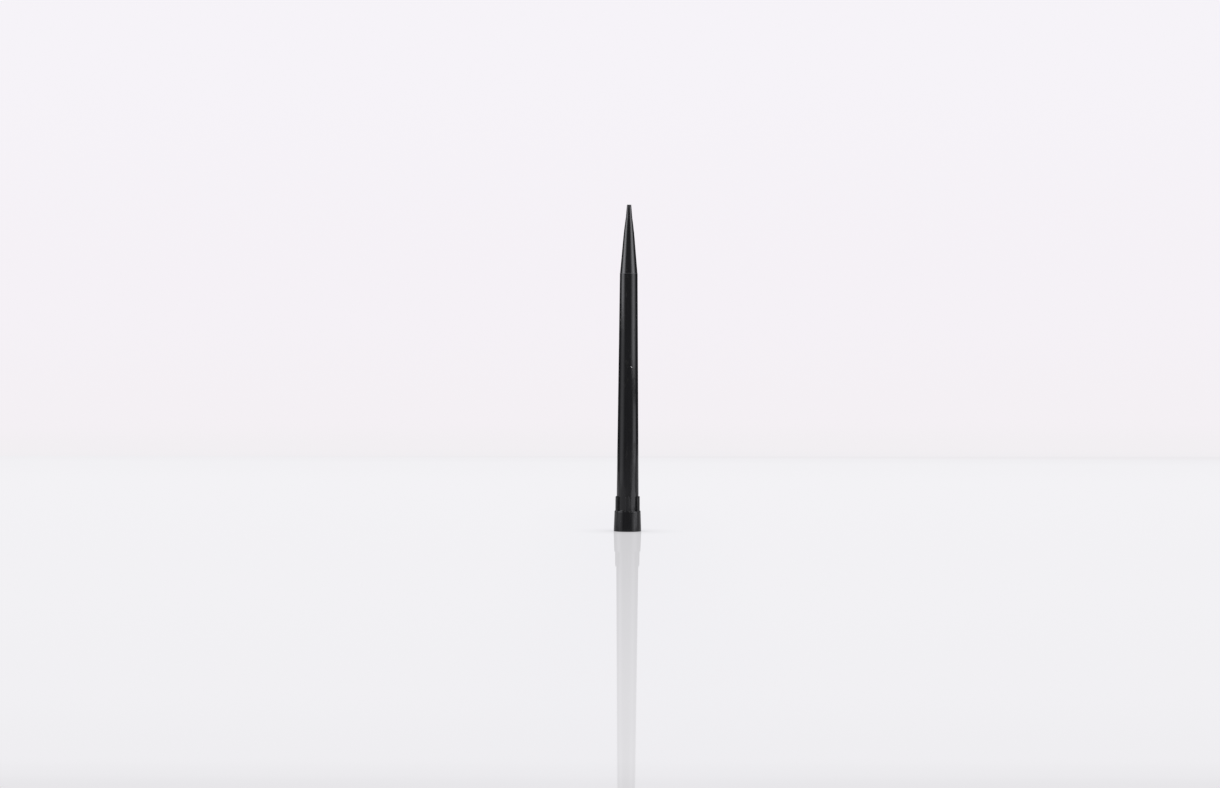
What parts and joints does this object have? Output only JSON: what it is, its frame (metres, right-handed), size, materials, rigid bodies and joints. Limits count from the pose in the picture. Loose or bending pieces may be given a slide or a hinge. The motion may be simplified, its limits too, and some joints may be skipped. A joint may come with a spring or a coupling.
{
  "type": "pipette tip",
  "caption": "Long thin-walled black conductive tip for a robotic pipettor, with a ribbed collar, a tapering barrel and a slender nozzle.",
  "frame": {"origin": "centre of the collar's mouth face, which the tip stands on", "axes": "+Z along the tip's axis from the mouth to the nozzle's end; one of the six ribs faces -Y, the front"},
  "size_m": [0.008, 0.008, 0.0951],
  "materials": {
    "conductive_plastic": "satin, as moulded against a polished steel cavity"
  },
  "bodies": {
    "root": {"pipette_tip": "conductive_plastic"}
  },
  "joints": []
}
